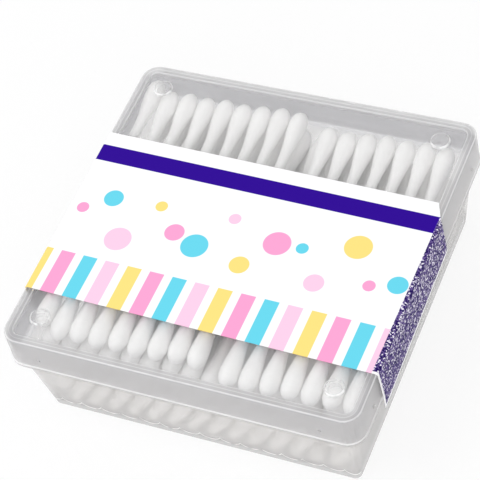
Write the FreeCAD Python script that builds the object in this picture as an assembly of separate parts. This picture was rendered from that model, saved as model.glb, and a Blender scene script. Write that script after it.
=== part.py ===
"""Clear square box of cotton swabs with a lift-off lid and a printed label over the lid.

Lengths are in millimetres. The origin is the middle of the box's underside, +Z is up, -Y is the
front, and the swabs lie along Y. Each piece is written to its own file in parts/.
"""

import FreeCAD, Part
import math
import os

from FreeCAD import Vector

# Swabs
swab_length = 76.0
tip_diameter = 4.6
tip_length = 19.0
tip_nose_length = 3.4  # from the end to where the cotton is thickest
nose_end_radius = 0.85
nose_shoulder_radius = 1.85
nose_shoulder_share = 0.25  # of the nose's length, from the end to its shoulder
tip_neck_radius = 1.5
stick_diameter = 2.3
cotton_past_stick = 4.0  # from the cotton's end to the stick's end inside it
glue_gap = 0.05
top_swab_sides = 10  # corners of a round section, on the swabs that show
lower_swab_sides = 6  # and on those that lie below them

# How the swabs lie
touch_gap = 0.06  # between the cotton of neighbours that touch
floor_gap = 0.05
nested_rows = 6
nested_row_slack = 0.47  # sideways, between neighbours in one nested row
slip_step = 0.08  # row by row upwards, the swabs stray in and out by up to two of these more
top_row_slack = 0.23
top_left_count = 9
top_missing_gap = 3.7  # extra room beside the ninth swab of the top row
top_yaw = 2.0  # degrees, the whole top row leans to the left at the back
top_side_gap = 0.1  # between the top row's ends and the tray's walls
first_swab_slip = 4.6  # the first swab of the top row lies furthest back
left_group_slip = 1.4
right_group_slip = -1.8  # the swabs right of the missing one lie further forward
empty_places = {2: (13,), 4: (0,), 6: (13,)}  # nested row: places with no swab

# Tray
tray_wall = 0.6
tray_floor = 0.8
swab_end_room = 0.25  # between the lowest swabs' ends and the walls
wall_draft = 7.2  # degrees, how far the walls lean out
floor_corner_radius = 1.0  # of the inside corners, at the floor
floor_rounding = 0.5
base_rounding = 0.9
collar_jog = 1.05  # the collar that the lid covers stands out by this much
collar_height = 8.2
rim_rounding = 0.15

# Lid
lid_wall = 0.6
lid_corner_radius = 4.2  # seen from above
lid_fit_gap = 0.15  # between the tray's collar and the inside of the skirt
lid_seat_gap = 0.05  # between the tray's rim and the lid that sits on it
swab_top_room = 0.1
panel_thickness = 0.8
panel_inset = 2.2  # width of the raised border round the panel
panel_recess = 0.45  # how far the panel lies below the border
border_rounding = 0.45
panel_edge_rounding = 0.2
skirt_depth = 9.3
skirt_flare = 0.1  # how much further out the skirt is at its lower edge
lip_height = 1.0
lip_proud = 0.25
lip_rounding = 0.2
rounding_steps = 3  # flats that stand for a quarter round on the shells' edges
corner_steps = 6  # flats in each round corner of the shells

# Round stacking studs on the panel
stud_radius = 2.4
stud_above_border = 1.2
stud_wall = 0.8
stud_rounding = 0.5
stud_inset = 7.5  # from the lid's sides to the middle of the stud
stud_sides = 20  # corners of a round section, on the studs and their wells
pip_sides = 8

# Small pips on the skirt, two on each side
pip_radius = 0.5
pip_proud = 0.25
pip_from_corner = 9.0
pip_below_top = 5.6

# Label
film_thickness = 0.15
film_gap = 0.05
label_width = 48.0
label_middle_y = -4.9
label_turn = -0.95  # degrees, the label was stuck on a little askew
flap_depth = 11.0  # below the lid's top, in the middle of the flap
flap_slant = 2.5  # degrees, the flap's lower edge drops towards the front
flap_corner_cut = 5.0  # the back corner of the right flap is cut away by this much

# Sizes that follow
tip_radius = tip_diameter / 2
stick_radius = stick_diameter / 2
stick_length = swab_length - 2 * cotton_past_stick
touch_distance = tip_diameter + touch_gap
nested_pitch = tip_diameter + nested_row_slack
top_pitch = tip_diameter + top_row_slack
row_rise = math.sqrt(touch_distance**2 - (nested_pitch / 2) ** 2)
first_row_z = tray_floor + floor_gap + tip_radius
last_nested_z = first_row_z + (nested_rows - 1) * row_rise
top_row_z = last_nested_z + touch_distance

lid_underside = top_row_z + tip_radius + swab_top_room
box_height = lid_underside + panel_thickness + panel_recess
panel_top = box_height - panel_recess
skirt_bottom = box_height - skirt_depth
tray_height = lid_underside - lid_seat_gap
collar_bottom = tray_height - collar_height

draft_slope = math.tan(math.radians(wall_draft))
end_height = first_row_z - nose_end_radius - tray_floor
floor_inside = swab_length + 2 * (swab_end_room - draft_slope * end_height)
half_floor = floor_inside / 2
half_wall_top = half_floor + tray_wall + draft_slope * (collar_bottom - tray_floor)
half_collar = half_wall_top + collar_jog
half_lid = half_collar + lid_fit_gap + lid_wall
half_panel = half_lid - panel_inset

floor_axis = half_floor - floor_corner_radius
collar_axis = half_lid - lid_corner_radius
axis_lean = (collar_axis - floor_axis) / (collar_bottom - tray_floor)

wide_row_count = 1 + int((floor_inside - tip_diameter) / nested_pitch)
top_row_sway = (swab_length - 2 * tip_nose_length) * math.sin(math.radians(top_yaw))
top_row_room = 2 * (half_collar - tray_wall - top_side_gap) - top_row_sway - tip_diameter
top_count = 1 + int((top_row_room - top_missing_gap) / top_pitch)


def arc_points(centre, radius, start_deg, end_deg, steps=rounding_steps):
    """Points along an arc in a plane, both ends included."""
    points = []
    for k in range(steps + 1):
        angle = math.radians(start_deg + (end_deg - start_deg) * k / steps)
        points.append((centre[0] + radius * math.cos(angle), centre[1] + radius * math.sin(angle)))
    return points


def corner_axis(z):
    """How far the line that each corner turns about stands from the middle, at a height.

    It leans out with the tray's walls up to the collar, and is upright from there.
    """
    return collar_axis - axis_lean * max(0.0, collar_bottom - z)


def square_ring(reach, z):
    """Points round a level square with round corners, whose sides are at a reach from the axis."""
    axis = corner_axis(z)
    corner = arc_points((axis, axis), reach - axis, 0, 90, corner_steps)
    points = []
    for quarter in range(4):
        turn = FreeCAD.Rotation(Vector(0, 0, 1), 90 * quarter)
        points += [turn.multVec(Vector(x, y, z)) for x, y in corner]
    return points


def square_shell(section):
    """A solid swept round the Z axis along a square with round corners.

    The section is a list of (reach, z), where reach is the distance from the axis to a side.
    Level faces at its first and last points close the solid.
    """
    return solid_from_rings([square_ring(reach, z) for reach, z in section])


def solid_from_rings(rings):
    """A solid of flat faces through rings of corners, closed at both ends."""
    sides = len(rings[0])
    faces = []
    for near, far in zip(rings, rings[1:]):
        for k in range(sides):
            after = (k + 1) % sides
            corners = [near[k], near[after], far[after], far[k], near[k]]
            faces.append(Part.Face(Part.makePolygon(corners)))
    for end in (rings[0], rings[-1]):
        faces.append(Part.Face(Part.makePolygon(end + end[:1])))
    solid = Part.Solid(Part.Shell(faces))
    if solid.Volume < 0:
        solid.reverse()
    return solid


def four_corners(offset):
    """The four points at plus or minus offset in X and Y."""
    return [(sx * offset, sy * offset) for sx in (-1, 1) for sy in (-1, 1)]


def foot_arc(half_foot, z, radius):
    """The rounding between a level foot and the leaning wall that passes through (half_foot, z)."""
    lean = math.radians(wall_draft)
    centre = (half_foot - radius * (1 - math.sin(lean)) / math.cos(lean), z + radius)
    return arc_points(centre, radius, -90, -wall_draft)


def make_tray():
    """The moulded tray: leaning walls, a ledge out to the upright collar, and a rounded foot."""
    half_foot = half_floor + tray_wall - draft_slope * tray_floor
    inside_collar = half_collar - tray_wall
    inner_ledge = collar_bottom + tray_wall
    section = foot_arc(half_foot, 0, base_rounding)
    section += [
        (half_wall_top, collar_bottom),
        (half_collar - rim_rounding, collar_bottom),
        (half_collar, collar_bottom + rim_rounding),
        (half_collar, tray_height - rim_rounding),
        (half_collar - rim_rounding, tray_height),
        (inside_collar + rim_rounding, tray_height),
        (inside_collar, tray_height - rim_rounding),
        (inside_collar, inner_ledge),
        (half_floor + draft_slope * (inner_ledge - tray_floor), inner_ledge),
    ]
    section += reversed(foot_arc(half_floor, tray_floor, floor_rounding))
    return square_shell(section)


def make_lid():
    """The moulded lid: recessed panel, raised border, skirt with a lip, studs and pips."""
    half_skirt = half_lid + skirt_flare
    half_lip = half_skirt + lip_proud
    section = [
        (half_panel, panel_top),
        (half_panel, box_height - panel_edge_rounding),
        (half_panel + panel_edge_rounding, box_height),
    ]
    border_centre = (half_lid - border_rounding, box_height - border_rounding)
    section += arc_points(border_centre, border_rounding, 90, 0)
    section += [
        (half_skirt, skirt_bottom + lip_height),
        (half_lip, skirt_bottom + lip_height - lip_rounding),
        (half_lip, skirt_bottom + lip_rounding),
        (half_lip - lip_rounding, skirt_bottom),
        (half_skirt - lid_wall, skirt_bottom),
        (half_lid - lid_wall, lid_underside),
    ]
    studs, wells = stacking_studs()
    return square_shell(section).fuse(studs).cut(wells).fuse(skirt_pips())


def stacking_studs():
    """Four hollow round studs, and the wells that make them hollow from below."""
    top = box_height + stud_above_border
    foot = panel_top - panel_thickness / 2
    well_foot = lid_underside - panel_thickness / 2
    section = [(foot, stud_radius)]
    top_edge = (stud_radius - stud_rounding, top - stud_rounding)
    for radius, z in arc_points(top_edge, stud_rounding, 0, 90):
        section.append((z, radius))
    stud = upright(faceted_solid(section, stud_sides))
    well_radius = stud_radius - stud_wall
    well = upright(faceted_solid([(well_foot, well_radius), (top - stud_wall, well_radius)], stud_sides))
    studs = []
    wells = []
    for x, y in four_corners(half_lid - stud_inset):
        studs.append(stud.translated(Vector(x, y, 0)))
        wells.append(well.translated(Vector(x, y, 0)))
    return studs, wells


def upright(shape):
    """A copy of a shape made along Y, turned to stand along Z."""
    copy = shape.copy()
    copy.rotate(Vector(0, 0, 0), Vector(1, 0, 0), 90)
    return copy


def skirt_pips():
    """Round pips, two on the outside of each side of the skirt."""
    z = box_height - pip_below_top
    along = half_lid - pip_from_corner
    root = half_lid - lid_wall / 2
    length = lid_wall / 2 + skirt_flare + pip_proud
    pip_blank = faceted_solid([(-root - length, pip_radius), (-root, pip_radius)], pip_sides)
    pips = []
    for quarter in range(4):
        for side in (-1, 1):
            pip = pip_blank.translated(Vector(side * along, 0, z))
            pip.rotate(Vector(0, 0, 0), Vector(0, 0, 1), 90 * quarter)
            pips.append(pip)
    return pips


def film_line(offset):
    """Points and arc of one face of the film, offset from the lid, from its middle to the flap's end."""
    centre_x = half_lid - border_rounding
    centre_z = box_height - border_rounding
    radius = border_rounding + offset
    lip_x = half_lid + skirt_flare + lip_proud + offset
    lip_z = skirt_bottom + lip_height
    bend = math.sqrt(0.5) * radius
    start = Vector(centre_x, 0, centre_z + radius)
    middle = Vector(centre_x + bend, 0, centre_z + bend)
    turn_end = Vector(centre_x + radius, 0, centre_z)
    lip = Vector(lip_x, 0, lip_z)
    end = Vector(lip_x, 0, 0)
    return start, middle, turn_end, lip, end


def film_edges(offset, side):
    """The edges of one face of the film on one side of the lid (side is 1 or -1)."""
    points = []
    for point in film_line(offset):
        points.append(Vector(side * point.x, point.y, point.z))
    start, middle, turn_end, lip, end = points
    over = Part.LineSegment(Vector(0, 0, start.z), start).toShape()
    turn = Part.Arc(start, middle, turn_end).toShape()
    down = Part.LineSegment(turn_end, lip).toShape()
    flap = Part.LineSegment(lip, end).toShape()
    return [over, turn, down, flap], end


def make_label():
    """The printed film: flat over the lid, bent down over its sides and cut off askew."""
    edges = []
    for side in (-1, 1):
        inner, inner_end = film_edges(film_gap, side)
        outer, outer_end = film_edges(film_gap + film_thickness, side)
        edges += inner + outer
        edges.append(Part.LineSegment(inner_end, outer_end).toShape())
    section = Part.Face(Part.Wire(Part.__sortEdges__(edges)))
    section.translate(Vector(0, -half_lid, 0))
    band = section.extrude(Vector(0, 2 * half_lid, 0))
    return band.common(label_plan()).common(label_front_view())


def label_plan():
    """The label's outline from above, as a tall block: a turned rectangle with one cut corner."""
    half = label_width / 2
    far = half_lid + lid_wall + 4 * film_thickness + lip_proud
    cut_x = half_panel
    slope = math.tan(math.radians(label_turn))
    corners = []
    for x in (-far, far):
        corners.append(Vector(x, label_middle_y - half + slope * x, 0))
    for x, drop in ((far, flap_corner_cut), (half_lid, flap_corner_cut), (cut_x, 0)):
        corners.append(Vector(x, label_middle_y + half + slope * x - drop, 0))
    corners.append(Vector(-far, label_middle_y + half - slope * far, 0))
    face = Part.Face(Part.makePolygon(corners + corners[:1]))
    return face.extrude(Vector(0, 0, box_height + stud_above_border))


def label_front_view():
    """The label's outline from the side, as a long block: its lower edge drops to the front."""
    far = half_lid + 2 * skirt_depth
    drop = half_lid * math.tan(math.radians(flap_slant))
    flap_z = box_height - flap_depth
    top = box_height + stud_above_border
    corners = [
        Vector(-far, -half_lid, flap_z - drop),
        Vector(-far, half_lid, flap_z + drop),
        Vector(-far, half_lid, top),
        Vector(-far, -half_lid, top),
    ]
    face = Part.Face(Part.makePolygon(corners + corners[:1]))
    return face.extrude(Vector(2 * far, 0, 0))


def ring(radius, y, sides):
    """Points round a section across the swab's axis, with two flat sides upright."""
    points = []
    for k in range(sides):
        angle = 2 * math.pi * k / sides
        points.append(Vector(radius * math.sin(angle), y, radius * math.cos(angle)))
    return points


def faceted_solid(sections, sides):
    """A round piece along Y: a solid of flat faces through sections given as (y, radius)."""
    return solid_from_rings([ring(radius, y, sides) for y, radius in sections])


def tip_sections():
    """The tip's outline from its end at y = 0 to its neck: (y, radius) pairs."""
    return [
        (0.0, nose_end_radius),
        (nose_shoulder_share * tip_nose_length, nose_shoulder_radius),
        (tip_nose_length, tip_radius),
        (tip_length, tip_neck_radius),
    ]


def make_tip():
    """One cotton tip for the front end, with a blind hole that the stick sits in."""
    tip = faceted_solid(tip_sections(), top_swab_sides)
    hole_radius = stick_radius + glue_gap
    hole_foot = cotton_past_stick - glue_gap
    hole_mouth = tip_length + tip_nose_length
    hole = faceted_solid([(hole_foot, hole_radius), (hole_mouth, hole_radius)], top_swab_sides)
    tip = tip.cut(hole)
    tip.translate(Vector(0, -swab_length / 2, 0))
    return tip


def make_stick():
    """The bare stick, centred on the origin."""
    half = stick_length / 2
    return faceted_solid([(-half, stick_radius), (half, stick_radius)], top_swab_sides)


def make_lower_swab():
    """A whole swab for the lower rows, as one solid with few faces, centred on the origin."""
    nose_end, _, widest, _ = tip_sections()
    half = [nose_end, widest, (tip_length, stick_radius)]
    sections = [(y - swab_length / 2, radius) for y, radius in half]
    sections += [(-y, radius) for y, radius in reversed(sections)]
    return faceted_solid(sections, lower_swab_sides)


def half_turned(shape):
    """A copy of a shape turned half round the Z axis."""
    copy = shape.copy()
    copy.rotate(Vector(0, 0, 0), Vector(0, 0, 1), 180)
    return copy


def make_nested_row(row, swab):
    """One lower row. Rows alternate between two widths, so that each lies in the one below."""
    count = wide_row_count - row % 2
    left = -(count - 1) * nested_pitch / 2
    z = first_row_z + (row - 1) * row_rise
    swabs = []
    for k in range(count):
        if k in empty_places.get(row, ()):
            continue
        slip = (row - 1) * slip_step * ((3 * k + row) % 5 - 2)
        copy = swab.copy()
        copy.translate(Vector(left + k * nested_pitch, slip, z))
        swabs.append(copy)
    return Part.makeCompound(swabs)


def top_row_places():
    """(x, y) of each swab in the top row, before the row is turned."""
    spare = top_row_room - top_missing_gap - (top_count - 1) * top_pitch
    x = -(top_row_room - spare) / 2
    places = []
    for k in range(top_count):
        if k == top_left_count:
            x += top_missing_gap
        slip = first_swab_slip if k == 0 else left_group_slip
        if k >= top_left_count:
            slip = right_group_slip
        places.append((x, slip + 2 * slip_step * ((2 * k) % 5 - 2)))
        x += top_pitch
    return places


def in_top_row(shape, place):
    """A copy of a shape at its place in the top row, turned with the row."""
    copy = shape.copy()
    copy.translate(Vector(place[0], place[1], top_row_z))
    copy.rotate(Vector(0, 0, 0), Vector(0, 0, 1), top_yaw)
    return copy


def make_parts():
    """Every piece by name."""
    parts = {"tray": make_tray(), "lid": make_lid(), "label": make_label()}
    lower_swab = make_lower_swab()
    for row in range(1, nested_rows + 1):
        parts[f"swab_row_{row}"] = make_nested_row(row, lower_swab)
    stick = make_stick()
    front_tip = make_tip()
    back_tip = half_turned(front_tip)
    for number, place in enumerate(top_row_places(), 1):
        parts[f"top_swab_{number:02d}_stick"] = in_top_row(stick, place)
        parts[f"top_swab_{number:02d}_front_tip"] = in_top_row(front_tip, place)
        parts[f"top_swab_{number:02d}_back_tip"] = in_top_row(back_tip, place)
    return parts


os.makedirs("parts", exist_ok=True)
for name, shape in make_parts().items():
    shape.exportStep(f"parts/{name}.step")
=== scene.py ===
"""Dresses the swab box: wound cotton, white sticks, milky clear plastic and a printed film.

The model's frame is in metres. Lengths written in millimetres end in _mm.
"""

import math
import random

import bpy
from mathutils import Matrix, Vector


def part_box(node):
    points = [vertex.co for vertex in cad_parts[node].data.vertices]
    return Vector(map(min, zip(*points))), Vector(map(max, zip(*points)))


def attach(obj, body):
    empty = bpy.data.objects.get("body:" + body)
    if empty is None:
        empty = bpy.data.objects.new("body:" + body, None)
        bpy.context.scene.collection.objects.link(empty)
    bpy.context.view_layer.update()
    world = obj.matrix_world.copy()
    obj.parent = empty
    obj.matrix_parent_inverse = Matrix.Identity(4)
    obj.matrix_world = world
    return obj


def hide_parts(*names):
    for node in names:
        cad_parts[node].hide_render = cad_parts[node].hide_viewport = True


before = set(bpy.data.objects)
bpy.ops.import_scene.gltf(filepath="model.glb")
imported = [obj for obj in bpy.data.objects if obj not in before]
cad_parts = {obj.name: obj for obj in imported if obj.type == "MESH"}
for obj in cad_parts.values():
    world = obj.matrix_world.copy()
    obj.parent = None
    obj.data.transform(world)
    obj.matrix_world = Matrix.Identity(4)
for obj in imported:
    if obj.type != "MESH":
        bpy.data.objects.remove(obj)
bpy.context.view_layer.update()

MM = 0.001

# The swabs, as in the model's source
swab_length_mm = 76.0
tip_length_mm = 19.0
tip_nose_mm = 3.9
tip_radius_mm = 2.3
tip_neck_radius_mm = 1.3
stick_radius_mm = 1.15
stick_in_tip_mm = 15.0
nested_pitch_mm = 5.07
nested_rows = 6
wide_row_count = 15
slip_step_mm = 0.08
empty_places = {2: (13,), 4: (0,), 6: (13,)}
top_count = 16
top_yaw_deg = 2.0

# The cotton's form: how blunt its nose is, how early it has narrowed and how hollow that line is
nose_bluntness = 2.3
taper_haste = 1.35
taper_hollow = 0.9

# Waves in the wound surface: strength, waves round the stick, and radians per mm along it
cotton_waves = ((1.0, 2, 0.35), (1.0, 3, -0.6), (0.6, 1, 1.1), (0.5, 2, 2.3))
cotton_wave_mm = 0.11

# Points along and round each form
top_tip_steps = 44
top_tip_sides = 28
top_stick_sides = 20
lower_tip_steps = 20
lower_tip_sides = 16
lower_stick_sides = 12
stick_steps = 12
nose_crowding = 1.8

# The lid
box_height_mm = 31.011
half_lid_mm = 43.077
half_panel_mm = 40.877
corner_axis_mm = 38.877
skirt_bottom_mm = 21.711
lip_height_mm = 1.0
stud_place_mm = 35.577
stud_radius_mm = 2.4

# Painted highlights: pale lines round the lid's top edges, given as how far out, how wide and how
# strong
rim_highlight_lines = (
    (half_panel_mm + 0.1, 0.4, 0.6),
    (half_lid_mm - 0.25, 0.45, 0.7),
    (half_lid_mm - 1.2, 0.3, 0.3),
)

# The tray
collar_bottom_mm = 21.511
# The painted shade along the tray's foot: where it starts and where it is full
foot_starts_mm = 4.4
foot_full_mm = 1.4
# The painted glints on the end walls: top of their curve, its drop and its spread
scallop_top_mm = 4.9
scallop_drop_mm = 2.3
scallop_spread_mm = 0.4

# Share of the light that the plastic's milkiness passes on, scattered
milk_passes = 0.6
lid_blur = 0.34
tray_blur = 0.48

# The label, laid flat: u runs along it and v across it, both from the middle of the box
label_turn_deg = -0.95
flap_edge_z_mm = 20.011
flap_slant_deg = 2.5
flap_margin_mm = 0.5
flap_front_mm = -29.1
glitter_from_mm = 42.2
glitter_scale = 2.9
print_edge_mm = 0.1
print_softness_mm = 0.06
stripe_count = 16
stripe_pitch_mm = 5.7
stripe_width_mm = 3.6
stripes_back_mm = -17.0
dark_band_front_mm = 10.4
dark_band_back_mm = 15.2
dot_count = 14
dot_pitch_mm = 6.1
dots_middle_mm = -4.0
dot_wave_mm = 6.5
dot_wave_turn = 2.4
smallest_dot_mm = 1.5
dot_growth_mm = 0.9
dot_sizes = 3

# The camera, from a fit to the photo's edges
camera_place_mm = (161.24, -244.88, 382.38)
camera_target_mm = (0.335, -2.964, 31.011)
camera_roll_deg = 14.96
camera_lens_mm = 150.23
sensor_mm = 36.0

# The studio, in metres and watts
floor_half = 2.0
floor_gap = 0.0002
floor_whiteness = 0.85
world_light = 0.73
lamp_size = 0.6
lamp_aim = (0, 0, 0.02)
lamps = (("key", (-0.45, -0.35, 0.85), 3.0), ("fill", (0.35, -0.65, 0.6), 1.9))


# Node graphs


class Graph:
    """A material's node tree, with short calls that add a node and link what feeds it."""

    def __init__(self, name):
        self.material = bpy.data.materials.new(name)
        self.material.use_nodes = True
        self.tree = self.material.node_tree
        self.tree.nodes.clear()

    def add(self, kind, inputs=(), **settings):
        """A new node with its settings made and its inputs fed."""
        node = self.tree.nodes.new(kind)
        for key, value in settings.items():
            setattr(node, key, value)
        for key, value in dict(inputs).items():
            self.feed(node.inputs[key], value)
        return node

    def feed(self, socket, value):
        """Links another node's output to a socket, or sets a plain value on it."""
        if isinstance(value, bpy.types.NodeSocket):
            self.tree.links.new(value, socket)
        else:
            socket.default_value = value

    def math(self, operation, *values):
        """The result of one step of arithmetic."""
        node = self.add("ShaderNodeMath", operation=operation)
        for socket, value in zip(node.inputs, values):
            self.feed(socket, value)
        return node.outputs[0]

    def clamped(self, value):
        """The value, kept from 0 to 1."""
        node = self.add("ShaderNodeClamp", {"Value": value})
        return node.outputs[0]

    def step(self, value, low, high):
        """0 below low, 1 above high and smooth between."""
        node = self.add("ShaderNodeMapRange", interpolation_type="SMOOTHSTEP")
        for socket, item in zip(node.inputs, (value, low, high, 0.0, 1.0)):
            self.feed(socket, item)
        return node.outputs[0]

    def scaled(self, value, low, high, to_low, to_high):
        """The value's place from low to high, as the like place from to_low to to_high."""
        node = self.add("ShaderNodeMapRange")
        for socket, item in zip(node.inputs, (value, low, high, to_low, to_high)):
            self.feed(socket, item)
        return node.outputs[0]

    def mix(self, share, first, second):
        """A mix of two colours, the second by the share."""
        node = self.add("ShaderNodeMix", data_type="RGBA")
        self.feed(node.inputs[0], share)
        self.feed(node.inputs[6], first)
        self.feed(node.inputs[7], second)
        return node.outputs[2]

    def place(self):
        """The surface point in millimetres, in the model's frame: as a vector, x, y and z."""
        coordinates = self.add("ShaderNodeTexCoord")
        scale = self.add("ShaderNodeVectorMath", operation="SCALE")
        self.feed(scale.inputs[0], coordinates.outputs["Object"])
        scale.inputs["Scale"].default_value = 1 / MM
        parts = self.add("ShaderNodeSeparateXYZ", {0: scale.outputs[0]})
        return scale.outputs[0], parts.outputs[0], parts.outputs[1], parts.outputs[2]

    def stretched(self, vector, scale):
        """The vector with each part scaled by its own factor."""
        node = self.add("ShaderNodeVectorMath", operation="MULTIPLY")
        self.feed(node.inputs[0], vector)
        node.inputs[1].default_value = scale
        return node.outputs[0]

    def noise(self, vector, scale, detail=2.0, roughness=0.5):
        """Soft noise from about 0 to 1."""
        node = self.add(
            "ShaderNodeTexNoise",
            {"Vector": vector, "Scale": scale, "Detail": detail, "Roughness": roughness},
        )
        return node.outputs["Fac"]

    def bump(self, height, strength, distance):
        """Surface normals that follow a height."""
        node = self.add(
            "ShaderNodeBump", {"Height": height, "Strength": strength, "Distance": distance}
        )
        return node.outputs[0]

    def finish(self, shader):
        """The material, with the shader as its surface."""
        self.add("ShaderNodeOutputMaterial", {"Surface": shader})
        return self.material


def srgb(red, green, blue, alpha=1.0):
    """A colour given in 0 to 255 as seen, in the linear values that shaders take."""
    values = []
    for channel in (red, green, blue):
        share = channel / 255
        values.append(share / 12.92 if share <= 0.04045 else ((share + 0.055) / 1.055) ** 2.4)
    return (*values, alpha)


def share_of(graph, share, first, second):
    """The number that lies at a share of the way from first to second."""
    spread = graph.math("SUBTRACT", second, first)
    return graph.math("ADD", first, graph.math("MULTIPLY", share, spread))


def line_at(graph, value, middle, width):
    """A soft line: 1 where value is middle, and 0 from half a width away."""
    away = graph.math("ABSOLUTE", graph.math("SUBTRACT", value, middle))
    return graph.step(away, width / 2, width / 6)


def band(graph, value, low, high):
    """1 where value lies between low and high, with a soft edge."""
    rise = graph.step(value, low - print_softness_mm, low + print_softness_mm)
    fall = graph.step(value, high - print_softness_mm, high + print_softness_mm)
    return graph.math("SUBTRACT", rise, fall)


def distance(graph, first, second):
    """The length of a step whose two parts lie at right angles."""
    squares = [graph.math("MULTIPLY", part, part) for part in (first, second)]
    return graph.math("SQRT", graph.math("ADD", *squares))


# Cotton and sticks


def cotton_material():
    """Wound cotton: fine fibres that run round the stick, soft lumps and a pale sheen."""
    graph = Graph("wound_cotton")
    point, _, _, _ = graph.place()
    fibres = graph.noise(graph.stretched(point, (0.9, 4.2, 0.9)), 1.6, 4.0, 0.65)
    strands = graph.noise(graph.stretched(point, (0.5, 1.6, 0.5)), 1.0, 3.0, 0.6)
    lumps = graph.noise(point, 0.55, 2.0)
    shade = graph.scaled(strands, 0.3, 0.7, 0.0, 1.0)
    colour = graph.mix(shade, srgb(248, 247, 246), srgb(254, 254, 253))
    shade = graph.scaled(lumps, 0.35, 0.7, 0.0, 0.35)
    colour = graph.mix(shade, colour, srgb(247, 246, 245))
    height = graph.math("ADD", graph.math("MULTIPLY", fibres, 0.5), strands)
    shader = graph.add(
        "ShaderNodeBsdfPrincipled",
        {
            "Base Color": colour,
            "Roughness": graph.scaled(fibres, 0.2, 0.8, 0.85, 1.0),
            "Specular IOR Level": 0.15,
            "Sheen Weight": 0.25,
            "Sheen Roughness": 0.6,
            "Normal": graph.bump(height, 0.45, 0.25 * MM),
        },
    )
    return graph.finish(shader.outputs[0])


def stick_material():
    """A white rolled stick with a faint lengthwise grain."""
    graph = Graph("white_stick")
    point, _, _, _ = graph.place()
    grain = graph.noise(graph.stretched(point, (3.0, 0.25, 3.0)), 1.5, 3.0)
    patches = graph.noise(point, 0.2, 1.0)
    colour = graph.mix(grain, srgb(249, 249, 248), srgb(254, 254, 253))
    shade = graph.scaled(patches, 0.4, 0.7, 0.0, 0.3)
    colour = graph.mix(shade, colour, srgb(245, 245, 244))
    shader = graph.add(
        "ShaderNodeBsdfPrincipled",
        {
            "Base Color": colour,
            "Roughness": graph.scaled(grain, 0.2, 0.8, 0.4, 0.6),
            "Normal": graph.bump(grain, 0.15, 0.05 * MM),
        },
    )
    return graph.finish(shader.outputs[0])


# Clear plastic


def clear_shader(graph, point, colour, cover, solid, blur):
    """Clear plastic with a share of milkiness, which blurs what lies behind it, under a gloss."""
    facing = graph.add("ShaderNodeLayerWeight", {"Blend": 0.3}).outputs["Facing"]
    glance = graph.math("MULTIPLY", graph.math("POWER", facing, 3.0), 0.3)
    ripple = graph.noise(point, 0.12, 2.0)
    scratches = graph.noise(graph.stretched(point, (0.15, 1.4, 0.6)), 2.0, 4.0)
    body = graph.add(
        "ShaderNodeBsdfPrincipled",
        {
            "Base Color": colour,
            "Roughness": blur,
            "IOR": 1.25,
            "Transmission Weight": share_of(graph, solid, milk_passes, 0.0),
            "Coat Weight": 0.6,
            "Coat Roughness": graph.scaled(scratches, 0.3, 0.7, 0.06, 0.14),
            "Coat Normal": graph.bump(ripple, 0.1, 0.4 * MM),
        },
    )
    clear = graph.add("ShaderNodeBsdfTransparent", {"Color": srgb(254, 254, 254)})
    mixed = graph.add("ShaderNodeMixShader")
    graph.feed(mixed.inputs[0], graph.clamped(graph.math("ADD", cover, glance)))
    graph.feed(mixed.inputs[1], clear.outputs[0])
    graph.feed(mixed.inputs[2], body.outputs[0])
    return mixed.outputs[0]


def reach_from_axis(graph, x, y):
    """How far out a point is, measured to the sides of a square with round corners."""
    parts = []
    for value in (x, y):
        past = graph.math("SUBTRACT", graph.math("ABSOLUTE", value), corner_axis_mm)
        parts.append(graph.math("MAXIMUM", past, 0.0))
    return graph.math("ADD", distance(graph, *parts), corner_axis_mm)


def painted_stud_highlights(graph, point, x, y, z):
    """1 on the rounded rims of the four studs: a painted highlight, broken into pieces by noise."""
    parts = []
    for value in (x, y):
        parts.append(graph.math("SUBTRACT", graph.math("ABSOLUTE", value), stud_place_mm))
    ring = line_at(graph, distance(graph, *parts), stud_radius_mm - 0.1, 0.7)
    # Noise breaks the painted highlight ring into pieces
    highlight_breaks = graph.step(graph.noise(point, 0.5, 2.0), 0.3, 0.6)
    on_stud = graph.step(z, box_height_mm + 0.5, box_height_mm + 0.8)
    return graph.math("MULTIPLY", graph.math("MULTIPLY", ring, highlight_breaks), on_stud)


def painted_lid_highlights(graph, point, x, y, z, reach):
    """1 on the lid's painted highlights: pale lines round its top, along its lip and on its studs.
    """
    painted_highlight = 0.0
    for middle, width, strength in rim_highlight_lines:
        line = graph.math("MULTIPLY", line_at(graph, reach, middle, width), strength)
        painted_highlight = graph.math("MAXIMUM", painted_highlight, line)
    on_top = graph.step(z, box_height_mm - 0.6, box_height_mm - 0.5)
    painted_highlight = graph.math("MULTIPLY", painted_highlight, on_top)
    # A painted highlight along the top edge of the lip
    lip_highlight = line_at(graph, z, skirt_bottom_mm + lip_height_mm - 0.1, 0.5)
    painted_highlight = graph.math("MAXIMUM", painted_highlight, graph.math("MULTIPLY", lip_highlight, 0.8))
    return graph.math("MAXIMUM", painted_highlight, painted_stud_highlights(graph, point, x, y, z))


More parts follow.
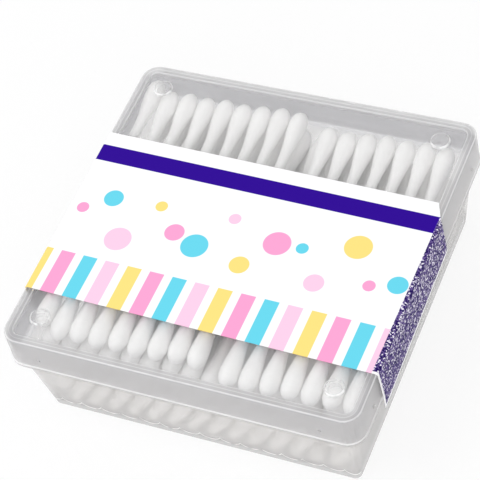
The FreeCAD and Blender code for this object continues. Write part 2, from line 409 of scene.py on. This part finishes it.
def lid_material():
    """The lid's clear plastic: painted highlight lines along its moulded edges, a painted shade
    line along the bottom of its lip and a greyer border and skirt.
    """
    graph = Graph("lid_plastic")
    point, x, y, z = graph.place()
    flow = graph.noise(graph.stretched(point, (0.02, 0.02, 0.06)), 1.0, 3.0)
    reach = reach_from_axis(graph, x, y)
    border = graph.step(reach, half_panel_mm - 0.1, half_panel_mm + 0.1)
    side = graph.step(z, box_height_mm - 0.3, box_height_mm - 0.7)
    side = graph.math("MULTIPLY", side, border)
    painted_highlight = painted_lid_highlights(graph, point, x, y, z, reach)
    # Painted shade: a dark grey line along the bottom of the lip, where the lid meets the tray
    painted_lip_shade = graph.math("MULTIPLY", line_at(graph, z, skirt_bottom_mm + 0.15, 0.5), 0.6)
    colour = graph.mix(flow, srgb(238, 238, 239), srgb(246, 246, 247))
    cover = share_of(graph, flow, 0.22, 0.27)
    # The last two areas are painted light and shade: pale highlight lines and the dark lip line
    for area, paint, milkiness in (
        (border, srgb(226, 226, 228), 0.45),
        (side, srgb(226, 224, 224), 0.5),
        (painted_highlight, srgb(250, 250, 251), 0.8),
        (painted_lip_shade, srgb(150, 149, 152), 0.6),
    ):
        colour = graph.mix(area, colour, paint)
        cover = share_of(graph, area, cover, milkiness)
    solid = graph.math("MAXIMUM", painted_highlight, painted_lip_shade)
    return graph.finish(clear_shader(graph, point, colour, cover, solid, lid_blur))


def painted_scallop_glints(graph, point, x, y, z):
    """Painted glints: broken pale lines on the end walls, where the lowest tips round off towards
    the floor.
    """
    half_pitch = nested_pitch_mm / 2
    beside = graph.math("SUBTRACT", half_pitch, graph.math("PINGPONG", x, half_pitch))
    share = graph.math("DIVIDE", beside, tip_radius_mm + scallop_spread_mm)
    round_part = graph.math("SUBTRACT", 1.0, graph.math("MULTIPLY", share, share))
    drop = graph.math("MULTIPLY", graph.math("SQRT", round_part), scallop_drop_mm)
    curve = graph.math("SUBTRACT", scallop_top_mm, drop)
    line = line_at(graph, graph.math("SUBTRACT", z, curve), 0.0, 0.5)
    broken = graph.step(graph.noise(point, 0.35, 2.0), 0.38, 0.52)
    end_wall = graph.step(graph.math("ABSOLUTE", y), swab_length_mm / 2 - 0.5, swab_length_mm / 2)
    return graph.math("MULTIPLY", line, graph.math("MULTIPLY", broken, end_wall))


def tray_material():
    """The tray's clear plastic, milkier up its collar and along its foot, where painted shade also
    greys it, with painted glints on its end walls.
    """
    graph = Graph("tray_plastic")
    point, x, y, z = graph.place()
    flow = graph.noise(graph.stretched(point, (0.03, 0.03, 0.05)), 1.0, 3.0)
    collar = graph.step(z, collar_bottom_mm - 0.2, collar_bottom_mm + 0.4)
    # Painted shade: greyer and milkier towards the floor
    painted_foot_shade = graph.step(z, foot_starts_mm, foot_full_mm)
    glint = painted_scallop_glints(graph, point, x, y, z)
    colour = graph.mix(flow, srgb(228, 225, 223), srgb(237, 234, 232))
    cover = share_of(graph, flow, 0.26, 0.36)
    for area, paint, milkiness in (
        (collar, srgb(206, 206, 212), 0.42),
        (painted_foot_shade, srgb(206, 204, 204), 0.5),
        (glint, srgb(250, 249, 248), 0.8),
    ):
        colour = graph.mix(area, colour, paint)
        cover = share_of(graph, area, cover, milkiness)
    return graph.finish(clear_shader(graph, point, colour, cover, glint, tray_blur))


# The printed label

CYAN = srgb(105, 214, 236)
PINK = srgb(253, 165, 210)
PALE_PINK = srgb(252, 206, 232)
YELLOW = srgb(253, 225, 130)
INDIGO = srgb(46, 0, 148)
PAPER = srgb(253, 253, 254)
GLITTER_DARK = srgb(30, 12, 88)
GLITTER_MIDDLE = srgb(104, 86, 146)
GLITTER_BRIGHT = srgb(236, 231, 245)
PAINTS = (YELLOW, PINK, CYAN, PALE_PINK)


def laid_flat(graph, x, y, z):
    """A place on the label as if it were laid flat: u along the label and v across it."""
    fold = graph.math("MAXIMUM", graph.math("SUBTRACT", box_height_mm, z), 0.0)
    along = graph.math("ADD", x, graph.math("MULTIPLY", graph.math("SIGN", x), fold))
    turn = math.radians(label_turn_deg)
    u = graph.math(
        "ADD",
        graph.math("MULTIPLY", along, math.cos(turn)),
        graph.math("MULTIPLY", y, math.sin(turn)),
    )
    v = graph.math(
        "SUBTRACT",
        graph.math("MULTIPLY", y, math.cos(turn)),
        graph.math("MULTIPLY", along, math.sin(turn)),
    )
    return u, v


def dots(graph, colour, u, v):
    """Plain round dots of three sizes, scattered in a wave along the middle of the label."""
    for place in range(dot_count):
        middle_u = (place - (dot_count - 1) / 2) * dot_pitch_mm
        middle_v = dots_middle_mm + dot_wave_mm * math.sin(dot_wave_turn * place)
        radius = smallest_dot_mm + dot_growth_mm * (place % dot_sizes)
        away = distance(
            graph,
            graph.math("SUBTRACT", u, middle_u),
            graph.math("SUBTRACT", v, middle_v),
        )
        dot = graph.step(away, 1.03 * radius, 0.97 * radius)
        colour = graph.mix(dot, colour, PAINTS[(place + 1) % len(PAINTS)])
    return colour


def stripes(graph, colour, u, v):
    """Even upright stripes along the front edge and one straight dark band near the back edge."""
    front = graph.step(v, stripes_back_mm + print_softness_mm, stripes_back_mm - print_softness_mm)
    for place in range(stripe_count):
        middle = (place - (stripe_count - 1) / 2) * stripe_pitch_mm
        bar = band(graph, u, middle - stripe_width_mm / 2, middle + stripe_width_mm / 2)
        colour = graph.mix(graph.math("MULTIPLY", bar, front), colour, PAINTS[place % len(PAINTS)])
    return graph.mix(band(graph, v, dark_band_front_mm, dark_band_back_mm), colour, INDIGO)


def flap_print(graph, colour, point, u, y, z):
    """The right flap's glitter field with its white margins."""
    cells = graph.add("ShaderNodeTexVoronoi", {"Vector": point, "Scale": glitter_scale})
    tone = graph.add("ShaderNodeSeparateColor", {0: cells.outputs["Color"]}).outputs[0]
    glitter = graph.mix(graph.step(tone, 0.3, 0.5), GLITTER_DARK, GLITTER_MIDDLE)
    glitter = graph.mix(graph.step(tone, 0.76, 0.82), glitter, GLITTER_BRIGHT)
    slant = graph.math("MULTIPLY", y, math.tan(math.radians(flap_slant_deg)))
    low = flap_edge_z_mm + flap_margin_mm
    inside = graph.step(graph.math("SUBTRACT", z, slant), low, low + print_edge_mm)
    behind_front = graph.step(y, flap_front_mm, flap_front_mm + print_edge_mm)
    inside = graph.math("MULTIPLY", inside, behind_front)
    beyond = graph.step(u, glitter_from_mm, glitter_from_mm + print_edge_mm)
    margin = graph.math("MULTIPLY", beyond, graph.math("SUBTRACT", 1.0, inside))
    colour = graph.mix(margin, colour, PAPER)
    return graph.mix(graph.math("MULTIPLY", beyond, inside), colour, glitter)


def label_material():
    """Satin printed film: even stripes, a dark band, plain dots and a glitter flap."""
    graph = Graph("printed_film")
    point, x, y, z = graph.place()
    u, v = laid_flat(graph, x, y, z)
    colour = dots(graph, PAPER, u, v)
    colour = stripes(graph, colour, u, v)
    colour = flap_print(graph, colour, point, u, y, z)
    grain = graph.noise(point, 3.0, 2.0)
    waves = graph.noise(graph.stretched(point, (0.03, 0.05, 0.05)), 1.0, 2.0)
    shader = graph.add(
        "ShaderNodeBsdfPrincipled",
        {
            "Base Color": colour,
            "Roughness": graph.scaled(grain, 0.3, 0.7, 0.45, 0.55),
            "Specular IOR Level": 0.08,
            "Normal": graph.bump(waves, 0.25, 0.8 * MM),
        },
    )
    return graph.finish(shader.outputs[0])


# The swabs' forms


def tip_radius_at(y_mm):
    """The cotton's radius at a distance from its end: a blunt round nose, then a long taper."""
    if y_mm < tip_nose_mm:
        share = 1 - y_mm / tip_nose_mm
        return tip_radius_mm * (1 - share**nose_bluntness) ** 0.5
    share = taper_haste * (y_mm - tip_nose_mm) / (tip_length_mm - tip_nose_mm)
    share = min(1.0, share)
    eased = share * share * (3 - 2 * share)
    return tip_radius_mm + (tip_neck_radius_mm - tip_radius_mm) * eased**taper_hollow


def tip_profile(steps):
    """(y, radius) pairs from the tip's end to its neck, closer together round the nose."""
    half = steps // 2
    nose = [tip_nose_mm * (k / half) ** nose_crowding for k in range(1, half)]
    rest = tip_length_mm - tip_nose_mm
    body = [tip_nose_mm + rest * k / half for k in range(half + 1)]
    return [(y, tip_radius_at(y)) for y in nose + body]


def cotton_dent(phases, angle, y_mm):
    """How far the wound surface lies below its fullest round there, in millimetres."""
    fullest = sum(strength for strength, _, _ in cotton_waves)
    height = 0.0
    for (strength, turns, along), phase in zip(cotton_waves, phases):
        height += strength * math.sin(turns * angle + phase + along * y_mm)
    return cotton_wave_mm * (height + fullest) / (2 * fullest)


def lathe(profile, sides, phases=()):
    """Points and faces of a turned form round the Y axis, closed at both ends."""
    points = []
    for y, radius in profile:
        for k in range(sides):
            angle = 2 * math.pi * k / sides
            dent = cotton_dent(phases, angle, y) if phases else 0.0
            reach = max(radius - dent * min(1.0, radius), 0.02)
            points.append((reach * math.sin(angle), y, reach * math.cos(angle)))
    faces = []
    for ring in range(len(profile) - 1):
        near = ring * sides
        far = near + sides
        for k in range(sides):
            after = (k + 1) % sides
            faces.append((near + k, near + after, far + after, far + k))
    last = (len(profile) - 1) * sides
    for start, y, turn in ((0, profile[0][0], -1), (last, profile[-1][0], 1)):
        centre = len(points)
        points.append((0.0, y, 0.0))
        for k in range(sides):
            pair = (start + k, start + (k + 1) % sides)
            faces.append((centre, *pair[::turn]))
    return points, faces


def moved(points, matrix):
    """The points, each taken through a matrix."""
    return [tuple(matrix @ Vector(point)) for point in points]


def tip_group(place, end, seed, steps, sides):
    """One cotton tip at a swab's front (end is -1) or back (end is 1)."""
    rng = random.Random(seed)
    phases = [rng.uniform(0, 2 * math.pi) for _ in cotton_waves]
    points, faces = lathe(tip_profile(steps), sides, phases)
    shift = Matrix.Translation((0, -swab_length_mm / 2, 0))
    if end > 0:
        shift = Matrix.Rotation(math.pi, 4, "Z") @ shift
    return moved(points, place @ shift), faces


def stick_group(place, sides):
    """One stick, which reaches into both cotton tips."""
    half = swab_length_mm / 2 - tip_length_mm + stick_in_tip_mm
    profile = []
    for k in range(stick_steps + 1):
        profile.append((-half + 2 * half * k / stick_steps, stick_radius_mm))
    points, faces = lathe(profile, sides)
    return moved(points, place), faces


def mesh_piece(name, groups, material):
    """One object made from several (points in millimetres, faces) groups."""
    points, faces = [], []
    for group_points, group_faces in groups:
        start = len(points)
        points += [(x * MM, y * MM, z * MM) for x, y, z in group_points]
        faces += [tuple(index + start for index in face) for face in group_faces]
    mesh = bpy.data.meshes.new(name)
    mesh.from_pydata(points, [], faces)
    mesh.validate()
    mesh.shade_smooth()
    mesh.materials.append(material)
    piece = bpy.data.objects.new(name, mesh)
    bpy.context.scene.collection.objects.link(piece)
    return piece


def dress(piece, replaced=()):
    """Lets the piece ride in the tray and hides the solids that it replaces."""
    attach(piece, "tray")
    if replaced:
        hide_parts(*replaced)


def build_top_row(cotton, white):
    """The swabs that show through the lid, each as one stick and two cotton tips."""
    for number in range(1, top_count + 1):
        name = f"top_swab_{number:02d}"
        low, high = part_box(f"{name}_stick")
        centre = (low + high) / 2 / MM
        place = Matrix.Translation(centre) @ Matrix.Rotation(math.radians(top_yaw_deg), 4, "Z")
        stick = mesh_piece(f"{name}_bare_stick", [stick_group(place, top_stick_sides)], white)
        dress(stick, [f"{name}_stick"])
        for end, side in ((-1, "front"), (1, "back")):
            group = tip_group(place, end, number * 7 + end, top_tip_steps, top_tip_sides)
            tip = mesh_piece(f"{name}_{side}_cotton", [group], cotton)
            dress(tip, [f"{name}_{side}_tip"])


def nested_places(row):
    """The centres of the swabs of one lower row, as the model's source lays them."""
    low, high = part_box(f"swab_row_{row}")
    z = (low.z + high.z) / 2 / MM
    count = wide_row_count - row % 2
    left = -(count - 1) * nested_pitch_mm / 2
    places = []
    for k in range(count):
        if k in empty_places.get(row, ()):
            continue
        slip = (row - 1) * slip_step_mm * ((3 * k + row) % 5 - 2)
        places.append(Matrix.Translation((left + k * nested_pitch_mm, slip, z)))
    return places


def build_lower_rows(cotton, white):
    """The nested rows below, each as one piece of cotton tips and one of sticks."""
    for row in range(1, nested_rows + 1):
        tips, sticks = [], []
        for number, place in enumerate(nested_places(row)):
            sticks.append(stick_group(place, lower_stick_sides))
            for end in (-1, 1):
                seed = 1000 * row + 10 * number + end
                tips.append(tip_group(place, end, seed, lower_tip_steps, lower_tip_sides))
        piece = mesh_piece(f"lower_row_{row}_cotton", tips, cotton)
        dress(piece, [f"swab_row_{row}"])
        piece = mesh_piece(f"lower_row_{row}_sticks", sticks, white)
        dress(piece)


# The studio


def floor_material():
    """A pale floor that shows white to the camera and keeps a soft shadow."""
    graph = Graph("studio_floor")
    point, _, _, _ = graph.place()
    mottle = graph.noise(point, 0.02, 2.0)
    colour = graph.mix(mottle, srgb(246, 246, 247), srgb(250, 250, 250))
    diffuse = graph.add("ShaderNodeBsdfDiffuse", {"Color": colour})
    white = graph.add("ShaderNodeEmission", {"Color": (1, 1, 1, 1), "Strength": 1.0})
    path = graph.add("ShaderNodeLightPath")
    seen = graph.math("MAXIMUM", path.outputs["Is Camera Ray"], path.outputs["Is Glossy Ray"])
    seen = graph.math("MAXIMUM", seen, path.outputs["Is Transmission Ray"])
    mixed = graph.add("ShaderNodeMixShader")
    graph.feed(mixed.inputs[0], graph.math("MULTIPLY", seen, floor_whiteness))
    graph.feed(mixed.inputs[1], diffuse.outputs[0])
    graph.feed(mixed.inputs[2], white.outputs[0])
    return graph.finish(mixed.outputs[0])


def build_floor():
    """A wide square floor just under the box."""
    half = floor_half
    mesh = bpy.data.meshes.new("floor")
    corners = [(-half, -half, 0), (half, -half, 0), (half, half, 0), (-half, half, 0)]
    mesh.from_pydata(corners, [], [(0, 1, 2, 3)])
    mesh.materials.append(floor_material())
    floor = bpy.data.objects.new("floor", mesh)
    floor.location.z = -floor_gap
    bpy.context.scene.collection.objects.link(floor)


def build_world():
    """Even light from all round, seen as white by the camera and through the plastic."""
    world = bpy.data.worlds.new("studio")
    world.use_nodes = True
    tree = world.node_tree
    tree.nodes.clear()
    path = tree.nodes.new("ShaderNodeLightPath")
    strength = tree.nodes.new("ShaderNodeMapRange")
    strength.inputs["To Min"].default_value = world_light
    strength.inputs["To Max"].default_value = 1.0
    seen = tree.nodes.new("ShaderNodeMath")
    seen.operation = "MAXIMUM"
    tree.links.new(path.outputs["Is Camera Ray"], seen.inputs[0])
    tree.links.new(path.outputs["Is Transmission Ray"], seen.inputs[1])
    tree.links.new(seen.outputs[0], strength.inputs["Value"])
    background = tree.nodes.new("ShaderNodeBackground")
    background.inputs["Color"].default_value = (1.0, 1.0, 1.0, 1.0)
    tree.links.new(strength.outputs[0], background.inputs["Strength"])
    output = tree.nodes.new("ShaderNodeOutputWorld")
    tree.links.new(background.outputs[0], output.inputs["Surface"])
    bpy.context.scene.world = world


def build_lamp(name, place, watts):
    """A soft square lamp that faces the box."""
    light = bpy.data.lights.new(name, "AREA")
    light.shape = "SQUARE"
    light.size = lamp_size
    light.energy = watts
    lamp = bpy.data.objects.new(name, light)
    lamp.location = place
    aim = Vector(lamp_aim) - Vector(place)
    lamp.rotation_euler = aim.to_track_quat("-Z", "Y").to_euler()
    bpy.context.scene.collection.objects.link(lamp)


def build_camera():
    """The camera at the photo's place, aimed and rolled as the photo's was."""
    place = Vector(camera_place_mm) * MM
    forward = (Vector(camera_target_mm) * MM - place).normalized()
    right = forward.cross(Vector((0, 0, 1))).normalized()
    up = right.cross(forward)
    roll = math.radians(camera_roll_deg)
    rolled_up = up * math.cos(roll) + right * math.sin(roll)
    rolled_right = forward.cross(rolled_up)
    camera = bpy.data.cameras.new("photo_camera")
    camera.sensor_width = sensor_mm
    camera.lens = camera_lens_mm
    camera.clip_start = 0.01
    camera.clip_end = 20.0
    holder = bpy.data.objects.new("photo_camera", camera)
    matrix = Matrix((rolled_right, rolled_up, -forward)).transposed().to_4x4()
    matrix.translation = place
    holder.matrix_world = matrix
    bpy.context.scene.collection.objects.link(holder)
    bpy.context.scene.camera = holder


def give(node, material):
    """Puts a material into all the slots of one of the model's own pieces."""
    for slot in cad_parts[node].material_slots:
        slot.material = material


build_camera()
build_world()
build_floor()
for lamp_name, lamp_place, lamp_watts in lamps:
    build_lamp(lamp_name, lamp_place, lamp_watts)
bpy.context.scene.cycles.transparent_max_bounces = 32
bpy.context.scene.cycles.diffuse_bounces = 8
bpy.context.scene.view_settings.view_transform = "Standard"

cotton = cotton_material()
white = stick_material()
build_top_row(cotton, white)
build_lower_rows(cotton, white)
give("tray", tray_material())
give("lid", lid_material())
give("label", label_material())
